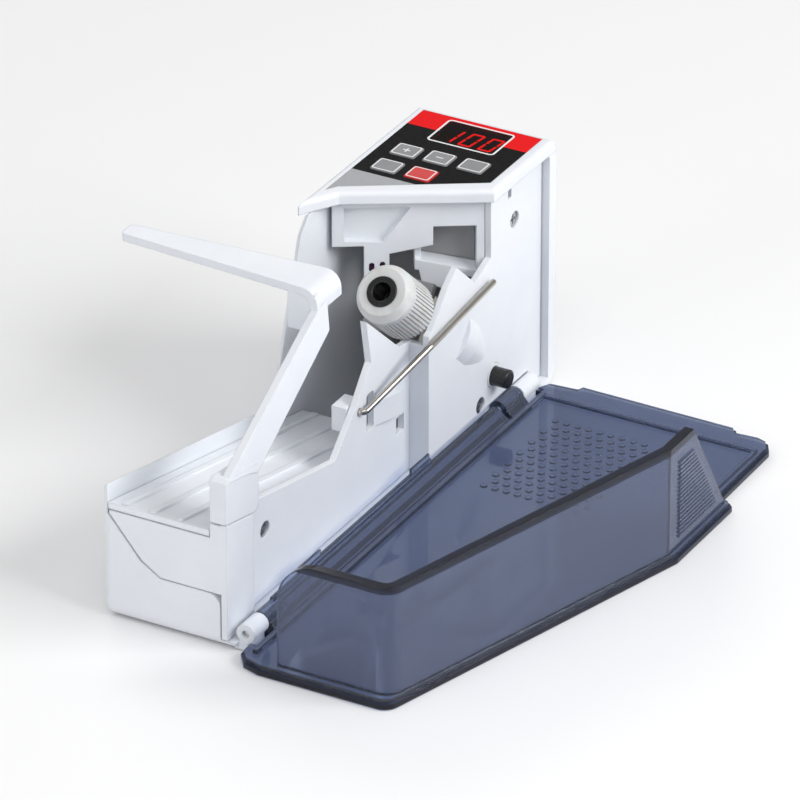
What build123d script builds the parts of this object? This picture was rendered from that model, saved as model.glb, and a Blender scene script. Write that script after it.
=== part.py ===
"""Handheld banknote counting machine, standing on its underside with the tray cover open.

Frame: +X along the machine from the hopper end to the display end, -Y to the front (the tray side),
+Z up, origin at the middle of the underside.  Sketches count from the near front corner of the base,
through the three plane helpers below, so every local number is a distance along the body itself.
"""
from build123d import *
from math import cos, hypot, pi, radians, sin
import os

os.makedirs("parts", exist_ok=True)

# ---- driving dimensions (mm) -------------------------------------------------------------------
BODY_LENGTH = 188.0          # hopper end to display end
BODY_BACK = 44.0             # underside front edge to the back wall's outer face
RIM_FRONT = -3.0             # front face of the rear shell's rim, where the closed tray rests
WALL = 2.2                   # shell wall
HOUSING_TOP = 77.0           # top of the shell around the display housing
COVER_TOP = 81.0             # top of the display cover
PANEL_T = 2.0                # front panel thickness
PANEL_A_Y = 6.0              # recessed part of the front panel
PANEL_B_Y = -0.5             # raised part of the front panel
POST_Y = 2.5                 # front face of the near post and of the arm's root
STEP_X = 113.4               # where the panel steps forward
POST_X = 15.5                # far side of the near post
FLOOR_DROP = 0.2125          # fall of the hopper floor per mm towards the roller
LIP_Z = 41.6                 # height of the hopper's front lip at the near end
FLOOR_Z = 37.6               # height of the hopper floor at the near end
CLEAR = 0.3                  # gap between faces of pieces that only lie beside each other

HINGE_Y, HINGE_Z, HINGE_R = -2.0, 5.0, 3.0
PIN_R = 1.2
RUN = 0.05                   # radial running clearance

TRAY_T = 3.0                 # tray floor
TRAY_EDGE_T = 1.7            # the part of it that stands out as a lip round the outside
TRAY_WALL_T = 1.8
TRAY_HEIGHT = 38.0

ROLLER_AT = (104.2, 10.0, 65.2)      # middle of the roller's free end
ROLLER_TILT = radians(41.7)          # slope of the roller's axis below the horizontal
ROLLER_R, ROLLER_LENGTH = 9.0, 19.0
HUB_R, SHAFT_R = 4.7, 1.5
MODULE = 0.5
GEAR_TEETH, PINION_TEETH = 42, 10
GEAR_AT, GEAR_W = 42.0, 5.0          # along the roller's axis, from its free end
MOTOR_R, MOTOR_LENGTH = 7.7, 19.5

ARM_PIVOT = (15.4, 39.4)             # x and z of the arm's hinge pin
ARM_PIN_R = 1.3
ARM_T = 2.5

WIRE_R = 1.0                         # wire guide: bend at the recess, knee at the step, free tip
WIRE_BEND, WIRE_STEP, WIRE_TIP = (83.3, 4.3, 36.4), (112.0, -1.85, 46.4), (149.8, -2.25, 50.4)
ANCHOR = ((79.3, 8.3, 30.6), (87.3, 13.0, 38.6))

BUTTON_SIZE = (7.4, 8.4)
BUTTONS = {
    "plus_button": (159.6, 32.4),
    "minus_button": (160.0, 21.5),
    "batch_button": (160.4, 10.2),
    "add_button": (148.2, 32.6),
    "start_button": (148.4, 21.3),
}
WINDOW = (170.0, 9.4, 183.6, 30.6)   # display window: low x, low y, high x, high y

CELL_R, CELL_LENGTH = 7.1, 50.5
CELL_X, CELL_Y = (162.8, 177.4), (19.7, 34.1)

PLUNGER_AT = (153.8, 16.6)           # x and z of the lid switch plunger
PLUNGER_R, PLUNGER_OUT = 2.95, 5.5

NEAR = -BODY_LENGTH / 2
FRONT = -BODY_BACK / 2


# ---- sketch planes, counted from the near front corner of the base ------------------------------
def level(z):
    """Horizontal plane: local x, y are along the machine and towards the back."""
    return Plane(origin=(NEAR, FRONT, z), x_dir=(1, 0, 0), z_dir=(0, 0, 1))


def front_plane(y):
    """Plane parallel to the front: local x, y are along the machine and up; it faces the front."""
    return Plane(origin=(NEAR, FRONT + y, 0), x_dir=(1, 0, 0), z_dir=(0, -1, 0))


def end_plane(x):
    """Plane across the machine: local x, y are towards the back and up; it faces the far end."""
    return Plane(origin=(NEAR + x, FRONT, 0), x_dir=(0, 1, 0), z_dir=(1, 0, 0))


AXIS = Vector(cos(ROLLER_TILT), 0, -sin(ROLLER_TILT))
AXIS_UP = Vector(sin(ROLLER_TILT), 0, cos(ROLLER_TILT))
AXIS_OF_ROLLER = Axis((0, 0, 0), (cos(ROLLER_TILT), 0, -sin(ROLLER_TILT)))


def roller_plane(along, offset=0.0):
    """Plane across the roller's axis: local x is up and towards the far end, local y to the front."""
    start = Vector(NEAR + ROLLER_AT[0], FRONT + ROLLER_AT[1], ROLLER_AT[2])
    return Plane(origin=start + AXIS * along + AXIS_UP * offset, x_dir=AXIS_UP, z_dir=AXIS)


DIAGONAL_START, DIAGONAL_END = (152.0, 1.0), (129.0, 38.0)
DIAGONAL_LENGTH = hypot(DIAGONAL_END[0] - DIAGONAL_START[0], DIAGONAL_END[1] - DIAGONAL_START[1])
ALONG_DIAGONAL = Vector(
    (DIAGONAL_END[0] - DIAGONAL_START[0]) / DIAGONAL_LENGTH,
    (DIAGONAL_END[1] - DIAGONAL_START[1]) / DIAGONAL_LENGTH,
    0,
)
INTO_HOUSING = Vector(ALONG_DIAGONAL.Y, -ALONG_DIAGONAL.X, 0)


def diagonal_plane(depth):
    """Plane of the housing's slanting front: local x runs to the back along it, local y is up."""
    start = Vector(NEAR + DIAGONAL_START[0], FRONT + DIAGONAL_START[1], 0)
    return Plane(origin=start + INTO_HOUSING * depth, x_dir=ALONG_DIAGONAL, z_dir=INTO_HOUSING)


def slab(low, high):
    """A box between two corners, counted like the sketches; call it inside a part."""
    size = [h - l for l, h in zip(low, high)]
    middle = [(h + l) / 2 for l, h in zip(low, high)]
    return size, Location((NEAR + middle[0], FRONT + middle[1], middle[2]))


def add_slab(low, high, mode=Mode.ADD):
    size, place = slab(low, high)
    with Locations(place):
        Box(*size, mode=mode)


def save(builder, name):
    builder.part.label = name
    export_step(builder.part, f"parts/{name}.step")


def body_point(x, y, z):
    return Vector(NEAR + x, FRONT + y, z)


def lip_height(x):
    return LIP_Z - FLOOR_DROP * x


def floor_height(x):
    return FLOOR_Z - FLOOR_DROP * x


# ---- rear shell ---------------------------------------------------------------------------------
BOSSES = ((2.6, 10.8), (165.0, 175.0))
KNUCKLES = ((BOSSES[0][1] + 0.4, 22.0), (154.0, BOSSES[1][0] - 0.4))
SIDE_OUTLINE = [
    (0, 0), (BODY_LENGTH, 0), (BODY_LENGTH, HOUSING_TOP), (117, HOUSING_TOP),
    (112, 72), (97, 27), (93, lip_height(93) + 2), (0, lip_height(0) + 2),
]
DOOR = (156.0, 6.0, 184.4, 58.0)     # battery door: low x, low z, high x, high z
JACK_AT = (40.0, 11.8)
END_WALL_Y = POST_Y + PANEL_T + CLEAR
SCREWS_FRONT = {"near": (28.0, 24.5, PANEL_A_Y), "low": (145.6, 10.2, PANEL_B_Y),
                "high": (166.3, 63.4, PANEL_B_Y)}

with BuildPart() as rear_shell:
    with BuildSketch(front_plane(BODY_BACK)) as outline:
        Polygon(*SIDE_OUTLINE, align=None)
        fillet(outline.vertices().group_by(Axis.Y)[0], radius=4)
    extrude(amount=BODY_BACK)
    fillet(rear_shell.faces().sort_by(Axis.Y)[-1].edges(), radius=3.4)
    with BuildSketch(front_plane(BODY_BACK - WALL)) as hollow:
        with Locations((BODY_LENGTH / 2, 2.4 + 50)):
            Rectangle(BODY_LENGTH - 2 * WALL, 100)
        fillet(hollow.vertices().group_by(Axis.Y)[0], radius=2)
    extrude(amount=BODY_BACK, mode=Mode.SUBTRACT)
    with BuildSketch(end_plane(-1)) as end_cut:
        Polygon((-1, 17), (24.5, 17), (31, 21), (BODY_BACK - WALL, 34), (BODY_BACK - WALL, 90), (-1, 90),
                align=None)
    extrude(amount=1 + WALL, mode=Mode.SUBTRACT)
    # the raised rim round the display end, and the toe and lip that carry the hinge bosses
    with BuildSketch(front_plane(WALL)) as rim:
        Polygon((183.6, 0), (BODY_LENGTH, 0), (BODY_LENGTH, HOUSING_TOP), (183.6, HOUSING_TOP), align=None)
        fillet(rim.vertices().group_by(Axis.Y)[0].sort_by(Axis.X)[-1], radius=4)
    extrude(amount=WALL - RIM_FRONT)
    add_slab((BOSSES[1][0], RIM_FRONT, 0), (184, 1, 2.4))
    add_slab((2, RIM_FRONT, 0), (BOSSES[0][1], 1, 2.4))
    # the near end wall stops short of the front panel's post and is rounded towards it
    add_slab((-1, -4, 2.4), (3.4, END_WALL_Y, 18), mode=Mode.SUBTRACT)
    with BuildSketch(end_plane(-1)):
        with Locations((END_WALL_Y + 2, 15.0)):
            Rectangle(4, 4)
        with Locations((END_WALL_Y + 4, 13.0)):
            Circle(4, mode=Mode.SUBTRACT)
    extrude(amount=1 + WALL, mode=Mode.SUBTRACT)
    for low, high in BOSSES:
        add_slab((low, -3.5, 0), (high, -0.8, HINGE_Z))
        with BuildSketch(end_plane(low)):
            with Locations((HINGE_Y, HINGE_Z)):
                Circle(HINGE_R)
        extrude(amount=high - low)
        with BuildSketch(end_plane(low - 1)):
            with Locations((HINGE_Y, HINGE_Z)):
                Circle(PIN_R)
        extrude(amount=high - low + 2, mode=Mode.SUBTRACT)
    # battery door opening and power jack hole in the back wall
    with BuildSketch(front_plane(BODY_BACK + 1)):
        with Locations(((DOOR[0] + DOOR[2]) / 2, (DOOR[1] + DOOR[3]) / 2)):
            RectangleRounded(DOOR[2] - DOOR[0] + 0.5, DOOR[3] - DOOR[1] + 0.5, 1.5)
        with Locations(JACK_AT):
            Circle(3.6)
    extrude(amount=WALL + 2, mode=Mode.SUBTRACT)
save(rear_shell, "rear_shell")

# ---- front panel --------------------------------------------------------------------------------
PANEL_LOW = 2.4 + CLEAR
RAISED_OUTLINE = [
    (STEP_X, PANEL_LOW), (183.3, PANEL_LOW), (183.3, HOUSING_TOP - CLEAR), (151.4, HOUSING_TOP - CLEAR),
    (151.7, 57.2), (141.8, 53.4), (130.6, 63.6), (124.5, 59.1), (120.3, 54.4), (115.4, 49.4),
    (STEP_X, 48.6),
]
RECESSED_OUTLINE = [
    (POST_X - 2, PANEL_LOW), (STEP_X + 2, PANEL_LOW), (STEP_X + 2, 45.2), (107.8, 46.3),
    (104.8, 48.7), (89.9, 62.0), (87.5, 64.1), (90.3, 49.4), (81.5, 38.8), (68.9, lip_height(68.9)),
    (19.3, lip_height(19.3)), (19.3, lip_height(19.3) - 1.5), (POST_X - 2, lip_height(POST_X - 2) - 1.5),
]
POST_TOP_GAP = 0.4
COLLAR_R = 3.9
BULGE_R, BULGE_WALL = 12.3, 1.2

with BuildPart() as front_panel:
    with BuildSketch(front_plane(PANEL_B_Y + PANEL_T)):
        Polygon(*RAISED_OUTLINE, align=None)
    extrude(amount=PANEL_T)
    with BuildSketch(front_plane(PANEL_A_Y + PANEL_T)):
        Polygon(*RECESSED_OUTLINE, align=None)
    extrude(amount=PANEL_T)
    add_slab((STEP_X, PANEL_B_Y, PANEL_LOW), (STEP_X + 2, PANEL_A_Y + PANEL_T, 45.2))
    # near post: front face, return to the recess, and the wall across the near end
    with BuildSketch(front_plane(POST_Y + PANEL_T)):
        Polygon((CLEAR, PANEL_LOW), (POST_X, PANEL_LOW), (POST_X, lip_height(POST_X) - 1 - POST_TOP_GAP),
                (CLEAR, lip_height(CLEAR) - 1 - POST_TOP_GAP), align=None)
    extrude(amount=PANEL_T)
    add_slab((POST_X - 2, POST_Y, PANEL_LOW), (POST_X, PANEL_A_Y + PANEL_T, 35.5))
    with BuildSketch(end_plane(CLEAR)):
        Polygon((POST_Y, 17.3), (24.4, 17.3), (30.7, 21.4), (41.2, 34.1), (41.2, 35), (POST_Y, 35),
                align=None)
    extrude(amount=2)
    # strip behind the shell's rounded corner, and the end's filling under the arm's root
    add_slab((WALL + CLEAR, POST_Y, PANEL_LOW), (WALL + CLEAR + 1.8, 12, 19))
    add_slab((CLEAR, POST_Y, 34.5), (CLEAR + 2, 8.0, lip_height(CLEAR + 2) - 1 - POST_TOP_GAP))
    # bulge that clears the drive gear: straight over the gear, then fading back into the panel
    with BuildSketch(roller_plane(GEAR_AT - 1.5)):
        Circle(BULGE_R)
    extrude(amount=GEAR_W + 2.0)
    with BuildSketch(roller_plane(GEAR_AT + GEAR_W + 0.5)):
        Circle(BULGE_R)
    extrude(amount=11.5, taper=9)
    with BuildSketch(roller_plane(GEAR_AT - 0.3)):
        Circle(BULGE_R - BULGE_WALL)
    extrude(amount=GEAR_W + 1.0, mode=Mode.SUBTRACT)
    with BuildSketch(roller_plane(GEAR_AT + GEAR_W + 0.7)):
        Circle(BULGE_R - BULGE_WALL)
    extrude(amount=16, taper=6, mode=Mode.SUBTRACT)
    add_slab((116, PANEL_B_Y + PANEL_T, 2), (183.2, 40, 76), mode=Mode.SUBTRACT)
    # thicker foot under the raised part, hollowed round the tray's hinge barrel and the far boss
    add_slab((STEP_X, PANEL_B_Y + 1, PANEL_LOW), (BOSSES[1][1] + 2, 3.4, 9.0))
    with BuildSketch(end_plane(STEP_X - 1)):
        with Locations((HINGE_Y, HINGE_Z)):
            Circle(HINGE_R + 0.4)
    extrude(amount=BOSSES[1][1] - STEP_X + 1 + CLEAR, mode=Mode.SUBTRACT)
    # wedge beside the wire, coming forward as it runs to the step
    with BuildSketch(level(27.0)):
        Polygon((92.8, PANEL_A_Y + 0.5), (92.8, PANEL_A_Y), (103.0, PANEL_A_Y - 3.5),
                (103.0, PANEL_A_Y + 0.5), align=None)
    extrude(amount=8.0)
    # screw holes, the wire's slot, the plunger's hole, small moulding slots
    for x, z, y in SCREWS_FRONT.values():
        with BuildSketch(front_plane(y + 6)):
            with Locations((x, z)):
                Circle(2.65)
        extrude(amount=8, mode=Mode.SUBTRACT)
    with BuildSketch(front_plane(PANEL_A_Y + 4)):
        with Locations((WIRE_BEND[0], WIRE_BEND[2])):
            Circle(WIRE_R + 0.15)
        with Locations((89.8, 33.4)):
            RectangleRounded(4.2, 12.4, 1.0)
        with Locations((107.8, 20.6)):
            Rectangle(4.6, 5.4)
    extrude(amount=6, mode=Mode.SUBTRACT)
    with BuildSketch(front_plane(PANEL_B_Y + 4)):
        with Locations(PLUNGER_AT):
            Circle(COLLAR_R + 0.1)
        with Locations((163.2, 74.2)):
            Rectangle(2.0, 4.6)
    extrude(amount=6, mode=Mode.SUBTRACT)
save(front_panel, "front_panel")

# ---- hopper floor -------------------------------------------------------------------------------
HOPPER_FRONT = PANEL_A_Y + PANEL_T + CLEAR
HOPPER_BACK = BODY_BACK - WALL - CLEAR
HOPPER_END = 112.0
FLOOR_T = 2.0

with BuildPart() as hopper_floor:
    with BuildSketch(front_plane(HOPPER_BACK)):
        Polygon((CLEAR, floor_height(CLEAR)), (HOPPER_END, floor_height(HOPPER_END)),
                (HOPPER_END, floor_height(HOPPER_END) - FLOOR_T), (CLEAR, floor_height(CLEAR) - FLOOR_T),
                align=None)
    extrude(amount=HOPPER_BACK - HOPPER_FRONT)
    # low rails that the notes' long edges slide along
    for rail in (17.3, 26.3, 35.3):
        with BuildSketch(front_plane(rail + 2)):
            Polygon((1, floor_height(1) - 0.5), (HOPPER_END - 1, floor_height(HOPPER_END - 1) - 0.5),
                    (HOPPER_END - 1, floor_height(HOPPER_END - 1) + 0.7), (1, floor_height(1) + 0.7),
                    align=None)
        extrude(amount=2)
save(hopper_floor, "hopper_floor")

# ---- feed guide: the housing's slanting front ----------------------------------------------------
RECESS_DEPTH = 8.0
GUIDE_START = 0.75
with BuildPart() as feed_guide:
    with BuildSketch(diagonal_plane(0)):
        Polygon((GUIDE_START, HOUSING_TOP - CLEAR), (46, HOUSING_TOP - CLEAR), (46, 61.5), (36.5, 61.5),
                (36.5, 49), (29.0, 49), (29.0, 58.8), (21.4, 60.3), (16, 61.5), (16, 67.6), (3.2, 67.6),
                (3.2, 57), (GUIDE_START, 57), align=None)
    extrude(amount=2)
    # shallow pocket beside the note path
    with BuildSketch(diagonal_plane(1.5)):
        Polygon((21.4, 75.6), (43.6, 75.6), (43.6, 62.2), (29.4, 61.6), align=None)
    extrude(amount=1.9)
    with BuildSketch(diagonal_plane(-1)):
        Polygon((22.6, 74.2), (42.4, 74.2), (42.4, 63.2), (30.8, 62.8), align=None)
    extrude(amount=3.4, mode=Mode.SUBTRACT)
    # ledge under the recess, sloping down to the front, with its thick nose
    with BuildSketch(diagonal_plane(0)):
        Polygon((21.5, 56.8), (3.2, 52.6), (3.2, 50.2), (21.5, 53.4), align=None)
    extrude(amount=RECESS_DEPTH)
    with BuildSketch(diagonal_plane(0)):
        Polygon((20.5, 55), (9.5, 52), (12.5, 46.5), (19.5, 49.5), align=None)
    extrude(amount=3.2)
    with BuildSketch(diagonal_plane(1.5)):
        Polygon((19.5, 53), (21.5, 53), (21.5, 68.6), (19.5, 68.6), align=None)
    extrude(amount=RECESS_DEPTH - 1.5)
    with BuildSketch(diagonal_plane(0)):
        Polygon((GUIDE_START, 50.2), (3.2, 50.2), (3.2, 68.6), (GUIDE_START, 68.6), align=None)
    extrude(amount=RECESS_DEPTH)
    # top of the recess
    with BuildSketch(diagonal_plane(0.5)):
        Polygon((GUIDE_START, 67.6), (21.5, 67.6), (21.5, 69.2), (GUIDE_START, 69.2), align=None)
    extrude(amount=RECESS_DEPTH - 0.5)
    # two short sensor windows beside the note path
    with BuildSketch(diagonal_plane(-1)):
        with Locations((31.0, 54.6), (34.2, 54.3)):
            SlotOverall(3.2, 1.7, rotation=90)
    extrude(amount=4, mode=Mode.SUBTRACT)
save(feed_guide, "feed_guide")

# the grey plate at the back of the recess
with BuildPart() as recess_plate:
    with BuildSketch(diagonal_plane(RECESS_DEPTH - 1.6)):
        Polygon((3.3, 52.8), (19.4, 56.5), (19.4, 67.5), (3.3, 67.5), align=None)
    extrude(amount=1.4)
save(recess_plate, "recess_plate")

with BuildPart() as note_sensors:
    with BuildSketch(diagonal_plane(0.5)):
        with Locations((31.0, 54.6), (34.2, 54.3)):
            SlotOverall(3.1, 1.6, rotation=90)
    extrude(amount=2.9)
save(note_sensors, "note_sensors")

# ---- display cover, label, window, display and buttons -------------------------------------------
COVER_OUTLINE = [
    (149.8, -2.5), (BODY_LENGTH, -2.5), (BODY_LENGTH, BODY_BACK), (114.6, BODY_BACK), (126.6, 36.8),
]
LABEL_OUTLINE = [(153.6, 0.9), (186.2, 0.9), (186.2, 41.4), (126.0, 41.4), (129.8, 39.2)]
LABEL_T = 0.4
COVER_SKIN = 1.6
LENS_Z = COVER_TOP - 1.0


def window_sketch(grow=0.0):
    low_x, low_y, high_x, high_y = WINDOW
    with Locations(((low_x + high_x) / 2, (low_y + high_y) / 2)):
        RectangleRounded(high_x - low_x + 2 * grow, high_y - low_y + 2 * grow, 0.8)


def button_sketch(places, grow=0.0):
    with Locations(*places):
        RectangleRounded(BUTTON_SIZE[0] + 2 * grow, BUTTON_SIZE[1] + 2 * grow, 0.8 + grow)


with BuildPart() as top_cover:
    with BuildSketch(level(HOUSING_TOP)):
        Polygon(*COVER_OUTLINE, align=None)
    extrude(amount=COVER_TOP - HOUSING_TOP)
    fillet(top_cover.faces().sort_by(Axis.Z)[-1].edges(), radius=1.6)
    with BuildSketch(level(HOUSING_TOP)) as cavity:
        Polygon(*COVER_OUTLINE, align=None)
        offset(amount=-1.8, mode=Mode.REPLACE)
    extrude(amount=COVER_TOP - HOUSING_TOP - COVER_SKIN - LABEL_T, mode=Mode.SUBTRACT)
    with BuildSketch(level(COVER_TOP - LABEL_T)):
        Polygon(*LABEL_OUTLINE, align=None)
    extrude(amount=1, mode=Mode.SUBTRACT)
    with BuildSketch(level(HOUSING_TOP)):
        window_sketch(0.1)
        button_sketch(BUTTONS.values(), 0.2)
    extrude(amount=6, mode=Mode.SUBTRACT)
save(top_cover, "top_cover")

with BuildPart() as control_label:
    with BuildSketch(level(COVER_TOP - LABEL_T)):
        Polygon(*LABEL_OUTLINE, align=None)
        offset(amount=-0.1, mode=Mode.REPLACE)
        window_sketch(0.1)
    extrude(amount=LABEL_T)
    with BuildSketch(level(HOUSING_TOP)):
        window_sketch(0.1)
        button_sketch(BUTTONS.values(), 0.2)
    extrude(amount=6, mode=Mode.SUBTRACT)
save(control_label, "control_label")

with BuildPart() as display_window:
    with BuildSketch(level(LENS_Z)):
        window_sketch()
    extrude(amount=COVER_TOP - LENS_Z)
save(display_window, "display_window")

BOARD_Z, BOARD_T = 70.4, 1.6
with BuildPart() as led_display:
    with BuildSketch(level(BOARD_Z + BOARD_T)):
        with Locations(((WINDOW[0] + WINDOW[2]) / 2, (WINDOW[1] + WINDOW[3]) / 2)):
            Rectangle(12.4, 19.6)
    extrude(amount=LENS_Z - 0.4 - BOARD_Z - BOARD_T)
save(led_display, "led_display")

with BuildPart() as control_board:
    with BuildSketch(level(BOARD_Z)):
        Polygon((155.5, 3.5), (184, 3.5), (184, 40), (133.5, 40), align=None)
    extrude(amount=BOARD_T)
save(control_board, "control_board")

SWITCH_TOP = 76.2
with BuildPart() as tact_switches:
    with BuildSketch(level(BOARD_Z + BOARD_T)):
        with Locations(*BUTTONS.values()):
            Rectangle(6, 6)
    extrude(amount=3.5)
    with BuildSketch(level(BOARD_Z + BOARD_T + 3.4)):
        with Locations(*BUTTONS.values()):
            Circle(1.7)
    extrude(amount=SWITCH_TOP - BOARD_Z - BOARD_T - 3.4)
save(tact_switches, "tact_switches")

BUTTON_TRAVEL = 0.5
for button_name, place in BUTTONS.items():
    with BuildPart() as button:
        with BuildSketch(level(78.2)):
            button_sketch([place])
        extrude(amount=COVER_TOP + 0.4 - 78.2)
        fillet(button.faces().sort_by(Axis.Z)[-1].edges(), radius=0.3)
        with BuildSketch(level(77.5)):
            button_sketch([place], 0.9)
        extrude(amount=1.2)
        with BuildSketch(level(SWITCH_TOP + BUTTON_TRAVEL + 0.1)):
            with Locations(place):
                Circle(1.5)
        extrude(amount=1.2)
    save(button, button_name)

# ---- roller, its shaft, gears and motor ----------------------------------------------------------
RIB_COUNT = 48
BUSH_R, BUSH_SPAN = 3.2, ((22.0, 2.4), (48.6, 2.4))
SHAFT_FROM, SHAFT_TO = 9.4, 51.4
PINION_OFFSET = -MODULE * (GEAR_TEETH + PINION_TEETH) / 2
MOTOR_FROM = 51.3


def gear_outline(teeth, phase):
    """Straight-sided teeth with a little backlash, as a closed ring of points; phase turns the wheel."""
    pitch, outer, root = MODULE * teeth / 2, MODULE * (teeth / 2 + 0.9), MODULE * (teeth / 2 - 1.25)
    step = 2 * pi / teeth
    points = []
    for tooth in range(teeth):
        middle = phase + tooth * step
        for radius, share in ((root, -0.34), (pitch, -0.22), (outer, -0.11), (outer, 0.11), (pitch, 0.22),
                              (root, 0.34)):
            angle = middle + share * step
            points.append((radius * cos(angle), radius * sin(angle)))
    return points


with BuildPart() as count_roller:
    with BuildSketch(roller_plane(0)):
        Circle(ROLLER_R)
    extrude(amount=ROLLER_LENGTH)
    chamfer(count_roller.faces().sort_by(AXIS_OF_ROLLER)[0].edges(), length=2.6, length2=1.7)
    with BuildSketch(roller_plane(4.5)):
        with PolarLocations(ROLLER_R + 0.1, RIB_COUNT):
            Rectangle(1.0, 0.45)
    extrude(amount=ROLLER_LENGTH, mode=Mode.SUBTRACT)
    with BuildSketch(roller_plane(-1)):
        Circle(HUB_R)
    extrude(amount=ROLLER_LENGTH + 2, mode=Mode.SUBTRACT)
save(count_roller, "count_roller")

with BuildPart() as roller_hub:
    with BuildSketch(roller_plane(-0.4)):
        Circle(HUB_R)
    extrude(amount=ROLLER_LENGTH + 0.8)
    with BuildSketch(roller_plane(-1)):
        Circle(2.9)
    extrude(amount=10, mode=Mode.SUBTRACT)
    with BuildSketch(roller_plane(-1)):
        Circle(SHAFT_R)
    extrude(amount=ROLLER_LENGTH + 4, mode=Mode.SUBTRACT)
save(roller_hub, "roller_hub")

with BuildPart() as roller_shaft:
    with BuildSketch(roller_plane(SHAFT_FROM)):
        Circle(SHAFT_R)
    extrude(amount=SHAFT_TO - SHAFT_FROM)
save(roller_shaft, "roller_shaft")

with BuildPart() as drive_gear:
    with BuildSketch(roller_plane(GEAR_AT)):
        Polygon(*gear_outline(GEAR_TEETH, 0), align=None)
        Circle(SHAFT_R, mode=Mode.SUBTRACT)
    extrude(amount=GEAR_W - 1)
    with BuildSketch(roller_plane(GEAR_AT + GEAR_W - 1)):
        Circle(3.4)
        Circle(SHAFT_R, mode=Mode.SUBTRACT)
    extrude(amount=1)
save(drive_gear, "drive_gear")

with BuildPart() as motor_pinion:
    with BuildSketch(roller_plane(GEAR_AT - 0.3, PINION_OFFSET)):
        Polygon(*gear_outline(PINION_TEETH, pi / PINION_TEETH), align=None)
        Circle(0.75, mode=Mode.SUBTRACT)
    extrude(amount=GEAR_W - 0.4)
save(motor_pinion, "motor_pinion")

with BuildPart() as motor_shaft:
    with BuildSketch(roller_plane(GEAR_AT - 0.8, PINION_OFFSET)):
        Circle(0.75)
    extrude(amount=MOTOR_FROM + 5 - GEAR_AT)
save(motor_shaft, "motor_shaft")

with BuildPart() as drive_motor:
    with BuildSketch(roller_plane(MOTOR_FROM, PINION_OFFSET)):
        Circle(MOTOR_R)
        Rectangle(40, 12.4, mode=Mode.INTERSECT)
    extrude(amount=MOTOR_LENGTH)
    with BuildSketch(roller_plane(MOTOR_FROM - 1, PINION_OFFSET)):
        Circle(2.6)
    extrude(amount=1)
    with BuildSketch(roller_plane(GEAR_AT, PINION_OFFSET)):
        Circle(0.75 + RUN)
    extrude(amount=MOTOR_FROM + 4.6 - GEAR_AT, mode=Mode.SUBTRACT)
save(drive_motor, "drive_motor")

with BuildPart() as shaft_bushes:
    for along, length in BUSH_SPAN:
        with BuildSketch(roller_plane(along)):
            Circle(BUSH_R)
            Circle(SHAFT_R + RUN, mode=Mode.SUBTRACT)
        extrude(amount=length)
save(shaft_bushes, "shaft_bushes")

# the cradle: two plates across the axis, joined along the back, local x is along the plates
with BuildPart() as motor_cradle:
    with BuildSketch(roller_plane(BUSH_SPAN[0][0])):
        with Locations((1.55, -4.5)):
            Rectangle(17.5, 18.2)
        Circle(BUSH_R, mode=Mode.SUBTRACT)
    extrude(amount=BUSH_SPAN[0][1])
    with BuildSketch(roller_plane(BUSH_SPAN[1][0])):
        with Locations((-6.2, -3.3)):
            Rectangle(33, 20.6)
        Circle(BUSH_R, mode=Mode.SUBTRACT)
        with Locations((PINION_OFFSET, 0)):
            Circle(2.7, mode=Mode.SUBTRACT)
    extrude(amount=BUSH_SPAN[1][1])
    with BuildSketch(roller_plane(BUSH_SPAN[0][0])):
        with Locations((1.55, -12.6)):
            Rectangle(17.5, 2.0)
    extrude(amount=BUSH_SPAN[1][0] + BUSH_SPAN[1][1] - BUSH_SPAN[0][0])
save(motor_cradle, "motor_cradle")

# ---- wire guide and its anchor -------------------------------------------------------------------
with BuildPart() as wire_guide:
    with BuildLine() as wire_path:
        FilletPolyline(body_point(WIRE_BEND[0], ANCHOR[1][1] - 0.5, WIRE_BEND[2]), body_point(*WIRE_BEND),
                       body_point(*WIRE_STEP), body_point(*WIRE_TIP), radius=2.0)
    with BuildSketch(front_plane(ANCHOR[1][1] - 0.5)):
        with Locations((WIRE_BEND[0], WIRE_BEND[2])):
            Circle(WIRE_R)
    sweep(path=wire_path.wires()[0])
    with Locations(Location(body_point(*WIRE_TIP))):
        Sphere(WIRE_R)
save(wire_guide, "wire_guide")

with BuildPart() as wire_anchor:
    add_slab(*ANCHOR)
    with BuildSketch(front_plane(ANCHOR[1][1] - 0.5)):
        with Locations((WIRE_BEND[0], WIRE_BEND[2])):
            Circle(WIRE_R)
    extrude(amount=8, mode=Mode.SUBTRACT)
save(wire_anchor, "wire_anchor")

# ---- lid switch ----------------------------------------------------------------------------------
PLUNGER_END = 2.2                    # y of the plunger's inner end
with BuildPart() as switch_collar:
    with BuildSketch(front_plane(PANEL_B_Y + PANEL_T)):
        with Locations(PLUNGER_AT):
            Circle(COLLAR_R)
    extrude(amount=PANEL_T + 0.1)
    with BuildSketch(front_plane(PANEL_B_Y + PANEL_T + 2)):
        with Locations(PLUNGER_AT):
            Circle(COLLAR_R + 0.8)
    extrude(amount=2.0)
    with BuildSketch(front_plane(10)):
        with Locations(PLUNGER_AT):
            Circle(PLUNGER_R + RUN)
    extrude(amount=20, mode=Mode.SUBTRACT)
save(switch_collar, "switch_collar")

with BuildPart() as switch_plunger:
    with BuildSketch(front_plane(PLUNGER_END)):
        with Locations(PLUNGER_AT):
            Circle(PLUNGER_R)
    extrude(amount=PLUNGER_END - PANEL_B_Y + PLUNGER_OUT)
    fillet(switch_plunger.faces().sort_by(Axis.Y)[0].edges(), radius=0.6)
    with BuildSketch(front_plane(PLUNGER_END)):
        with Locations(PLUNGER_AT):
            Circle(2.0)
    extrude(amount=5.0, mode=Mode.SUBTRACT)
save(switch_plunger, "switch_plunger")

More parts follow.
